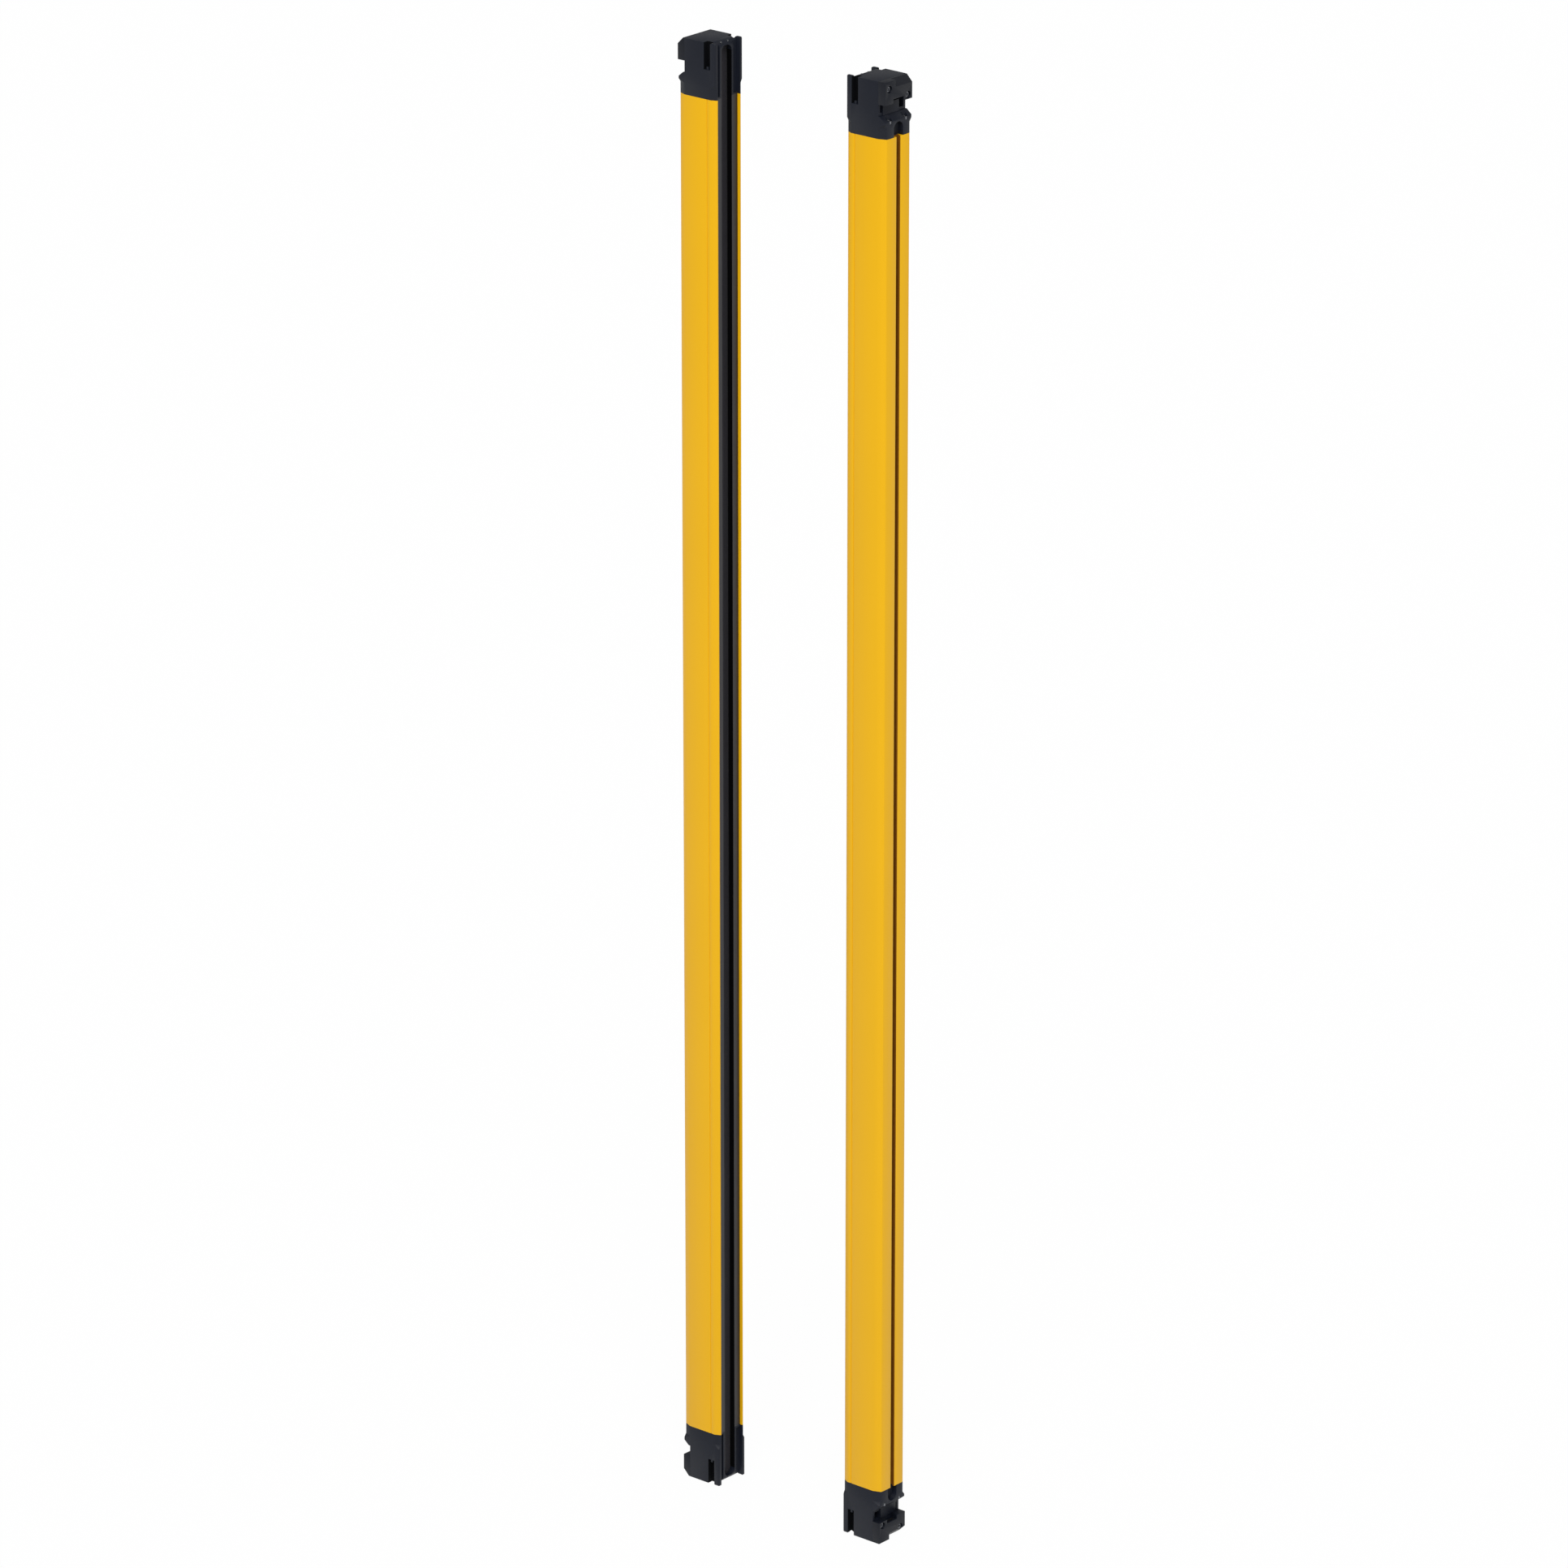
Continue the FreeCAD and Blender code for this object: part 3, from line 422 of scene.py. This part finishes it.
ribbon_film, tree, shader, place = new_material("amber_polyimide_ribbon", {
    "Roughness": 0.3, "IOR": 1.7})
strips = add(tree, "ShaderNodeTexWave", {
    "wave_type": "BANDS", "bands_direction": "Y", "Scale": per_length(3.2 * MM)}, {"Vector": place})
copper = add(tree, "ShaderNodeMapRange", {
    "From Min": 0.45, "From Max": 0.55}, {"Value": strips.outputs["Fac"]})
tree.links.new(blend_colours(tree, copper.outputs["Result"], "b06a1e", "c98740"),
               shader.inputs["Base Color"])
print("made", board_laminate.name, "and", ribbon_film.name)

# %% [markdown]
# ## Finishes on the CAD pieces
# Each piece gets one finish by its kind.  Some faces then get painted shade instead: the walls of
# the window's recess, the side slots of the caps and the inside of the T-slot, where shade falls.
# They are found by where their middles lie in a cap's own axes.

# %% Hand out the finishes
FINISHES = {
    "housing": coat,
    "rail_left": strip,
    "rail_right": strip,
    "window": window_acrylic,
    "window_gasket": rubber,
    "optics_carrier": chassis_black,
    "lenses": lens_acrylic,
    "circuit_board": board_laminate,
    "leds": diode_epoxy,
    "photodiodes": diode_epoxy,
    "control_chips": chip_black,
    "cap_screws": zinc,
    "cover_screws": zinc,
    "cap": cap_nylon,
    "cap_gasket": rubber,
    "rear_cover": cover_nylon,
    "socket": socket_black,
    "contact_pins": gold,
    "ribbon": ribbon_film,
    "light_guides": guide_acrylic,
}


def kind_of(name):
    """The part of a node's name that says what it is."""
    words = name.split("_")[1:]
    return "_".join(words[1:] if words[0] in ENDS else words)


for name, item in nodes.items():
    item.data.materials.clear()
    item.data.materials.append(FINISHES[kind_of(name)])
print("finishes handed out to", len(nodes), "nodes")

# %% Painted shade that covers only some faces
def paint_shade_on_faces(piece, frame, material, inside):
    """Give the faces whose middles lie inside a region of a cap's own axes another material, here a
    painted shade.
    """
    to_cap = frame.inverted()
    index = len(piece.data.materials)
    piece.data.materials.append(material)
    count = 0
    for face in piece.data.polygons:
        if inside(to_cap @ face.center):
            face.material_index = index
            count += 1
    print(piece.name, "faces shade_painted:", count)


def in_recess(place):
    """Whether a place is on the walls of the recess that holds the window."""
    return abs(place.y) < 6.3 * MM and -7.6 * MM < place.x < -1.0 * MM and place.z < 36.7 * MM


def in_side_slot(place):
    """Whether a place is inside one of a cap's two side slots."""
    return (11.0 * MM < abs(place.y) < 16.3 * MM and -11.9 * MM < place.x < -5.2 * MM
            and place.z > 26 * MM)


def in_t_slot(place):
    """Whether a place is inside the T-slot at the back of the housing."""
    return abs(place.y) < 4.3 * MM and place.x < -34.2 * MM


# Painted shade: the walls of the window's recess in the rails are painted near black.
for bar in BARS:
    for side in ("left", "right"):
        paint_shade_on_faces(nodes[f"{bar}_rail_{side}"], cap_frame(bar, "top"), recess_shade_paint, in_recess)

# %% [markdown]
# ## Soft edges
# No real edge is a knife edge.  A die rounds the corners of an extrusion by a few tenths of a
# millimetre, and a mould does the same to a cap.  That thin round catches the light and draws the
# bright lines along every corner.  A copy of the CAD mesh is merged, its flat triangles are
# dissolved into faces, and a Bevel modifier rounds what is left.  The ends of the fins are rounder
# than that, and the emitter's upper cover is bevelled across its whole width.

# %% Round the visible edges
SHARP = math.radians(35)
FIN_ROUND = 0.9 * MM
COVER_BEVEL = 5.5 * MM
CLEAR_OF_BEVEL = 0.02 * MM


def soften_fins(piece, bar, end):
    """Round the ends of the two fins of a cap more than the rest of it."""
    to_cap = cap_frame(bar, end).inverted()

    def at_fin_end(vertex):
        place = to_cap @ vertex.co
        return place.z > 45.9 * MM and abs(place.y) > 13.3 * MM and place.x > -5.4 * MM

    mesh = piece.data
    for edge in mesh.edges:
        edge.select = all(at_fin_end(mesh.vertices[number]) for number in edge.vertices)
    bpy.ops.object.mode_set(mode="EDIT")
    bpy.ops.mesh.select_mode(type="EDGE")
    bpy.ops.mesh.bevel(offset=FIN_ROUND, segments=3, affect="EDGES")
    bpy.ops.object.mode_set(mode="OBJECT")


def bevel_across(piece, bar, end):
    """Carry the end bevel of a rear cover across its block, which the emitter doesn't show."""
    from_cap = cap_frame(bar, end)
    places = [from_cap.inverted() @ vertex.co for vertex in piece.data.vertices]
    back = min(place.x for place in places)
    top = max(place.z for place in places)
    bpy.ops.object.mode_set(mode="EDIT")
    bpy.ops.mesh.select_all(action="SELECT")
    bevel_start = Vector((back, 0, top - COVER_BEVEL + CLEAR_OF_BEVEL))
    bpy.ops.mesh.bisect(plane_co=from_cap @ bevel_start,
                        plane_no=(from_cap.to_3x3() @ Vector((-1, 0, 1))).normalized(),
                        use_fill=True, clear_outer=True)
    bpy.ops.mesh.select_all(action="DESELECT")
    bpy.ops.object.mode_set(mode="OBJECT")


def rounded(name, radius):
    """A copy of a CAD piece with its edges rounded, in place of the sharp one."""
    bpy.ops.object.select_all(action="DESELECT")
    source = nodes[name]
    source.select_set(True)
    bpy.context.view_layer.objects.active = source
    bpy.ops.object.duplicate()
    piece = bpy.context.object
    bpy.ops.object.parent_clear(type="CLEAR_KEEP_TRANSFORM")
    piece.name = f"{name}_rounded"
    bpy.ops.object.mode_set(mode="EDIT")
    bpy.ops.mesh.select_all(action="SELECT")
    bpy.ops.mesh.remove_doubles(threshold=0.001 * MM)
    bpy.ops.mesh.dissolve_limited(angle_limit=math.radians(0.5))
    bpy.ops.mesh.select_all(action="DESELECT")
    bpy.ops.object.mode_set(mode="OBJECT")
    bar, end = name.split("_")[:2]
    if name.endswith("_cap"):
        soften_fins(piece, bar, end)
    if name == "emitter_top_rear_cover":
        bevel_across(piece, bar, end)
    soft = piece.modifiers.new("soft_edges", "BEVEL")
    soft.width = radius
    soft.segments = 2
    soft.limit_method = "ANGLE"
    soft.angle_limit = SHARP
    bpy.ops.object.modifier_apply(modifier=soft.name)
    bpy.ops.object.shade_smooth_by_angle(angle=SHARP)
    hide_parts(name)
    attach(piece, "root")
    print(piece.name, "faces", len(piece.data.polygons))
    return piece


for bar in BARS:
    housing = rounded(f"{bar}_housing", 0.25 * MM)
    # Painted shade: the inside of the T-slot gets the dull brown.
    paint_shade_on_faces(housing, cap_frame(bar, "top"), slot_shade_paint, in_t_slot)
    for end in ENDS:
        cap = rounded(f"{bar}_{end}_cap", 0.3 * MM)
        # Painted shade: near black on the walls of the cap's window recess.
        paint_shade_on_faces(cap, cap_frame(bar, end), recess_shade_paint, in_recess)
        # Painted shade: near black inside the cap's two side slots.
        paint_shade_on_faces(cap, cap_frame(bar, end), side_slot_shade_paint, in_side_slot)
        rounded(f"{bar}_{end}_rear_cover", 0.35 * MM)

# %% [markdown]
# ## Screws
# The caps and covers are held by small hex-socket screws.  One screw is turned from a cylinder: the
# rim of its head is chamfered and a six-sided socket is sunk in it.  Copies with meshes of their
# own are then set in all the caps and joined, one piece to a bar, as in CAD.

# %% One screw
def socket_screw(head_radius, head_height, shank_radius, shank_length):
    """A screw standing on Z = 0 with its head above, its shank below and a hex socket."""
    bpy.ops.object.select_all(action="DESELECT")
    bpy.ops.mesh.primitive_cylinder_add(
        vertices=36, radius=head_radius, depth=head_height, location=(0, 0, head_height / 2))
    screw = bpy.context.object
    bpy.ops.object.transform_apply(location=True)
    bpy.ops.object.mode_set(mode="EDIT")
    bpy.ops.mesh.select_all(action="DESELECT")
    bpy.ops.object.mode_set(mode="OBJECT")
    for face in screw.data.polygons:
        face.select = face.normal.z < -0.9
    bpy.ops.object.mode_set(mode="EDIT")
    bpy.ops.mesh.inset(thickness=head_radius - shank_radius)
    bpy.ops.mesh.extrude_region_move(TRANSFORM_OT_translate={"value": (0, 0, -shank_length)})
    bpy.ops.object.mode_set(mode="OBJECT")
    bpy.ops.mesh.primitive_cylinder_add(
        vertices=6, radius=head_radius * 0.58, depth=head_height * 1.2,
        location=(0, 0, head_height * 1.05))
    key = bpy.context.object
    sink = screw.modifiers.new("hex_socket", "BOOLEAN")
    sink.object = key
    bpy.context.view_layer.objects.active = screw
    bpy.ops.object.modifier_apply(modifier=sink.name)
    bpy.data.objects.remove(key)
    rim = screw.modifiers.new("chamfers", "BEVEL")
    rim.width = head_radius * 0.08
    rim.segments = 2
    rim.limit_method = "ANGLE"
    rim.angle_limit = math.radians(50)
    bpy.ops.object.modifier_apply(modifier=rim.name)
    bpy.ops.object.shade_smooth_by_angle(angle=SHARP)
    screw.data.materials.append(zinc)
    return screw


def set_screws(pattern, name, places, replaced):
    """Copies of a screw at the given places, joined into one piece for a bar."""
    copies = []
    for matrix in places:
        copy = pattern.copy()
        copy.data = pattern.data.copy()
        copy.data.transform(matrix)
        bpy.context.collection.objects.link(copy)
        copies.append(copy)
    bpy.ops.object.select_all(action="DESELECT")
    for copy in copies:
        copy.select_set(True)
    bpy.context.view_layer.objects.active = copies[0]
    bpy.ops.object.join()
    piece = bpy.context.object
    piece.name = name
    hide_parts(replaced)
    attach(piece, "root")
    print(name, "faces", len(piece.data.polygons))


# %% Set the screws
PORT_DEPTH = 36.5 * MM
PORT_HALF = 9.4 * MM
CAP_HEAD_SEAT = 11.6 * MM
COVER_HEAD_DEPTH = 35.8 * MM
COVER_PLACES = ((10.8 * MM, 39.6 * MM), (-11.8 * MM, 31.0 * MM))
TO_BACK = Matrix.Rotation(-math.pi / 2, 4, "Y")

cap_screw = socket_screw(2.5 * MM, 2.4 * MM, 1.45 * MM, 23.6 * MM)
cover_screw = socket_screw(2.2 * MM, 1.8 * MM, 1.2 * MM, 6.6 * MM)
for bar in BARS:
    down_ports = [
        cap_frame(bar, end) @ Matrix.Translation((-PORT_DEPTH, PORT_HALF * side, CAP_HEAD_SEAT))
        for end in ENDS for side in (1, -1)
    ]
    set_screws(cap_screw, f"{bar}_cap_socket_screws", down_ports,
               f"{bar}_cap_screws")
    into_covers = [
        cap_frame(bar, end) @ Matrix.Translation((-COVER_HEAD_DEPTH, across, level)) @ TO_BACK
        for end in ENDS for across, level in COVER_PLACES
    ]
    set_screws(cover_screw, f"{bar}_cover_socket_screws", into_covers,
               f"{bar}_cover_screws")
bpy.data.objects.remove(cap_screw)
bpy.data.objects.remove(cover_screw)
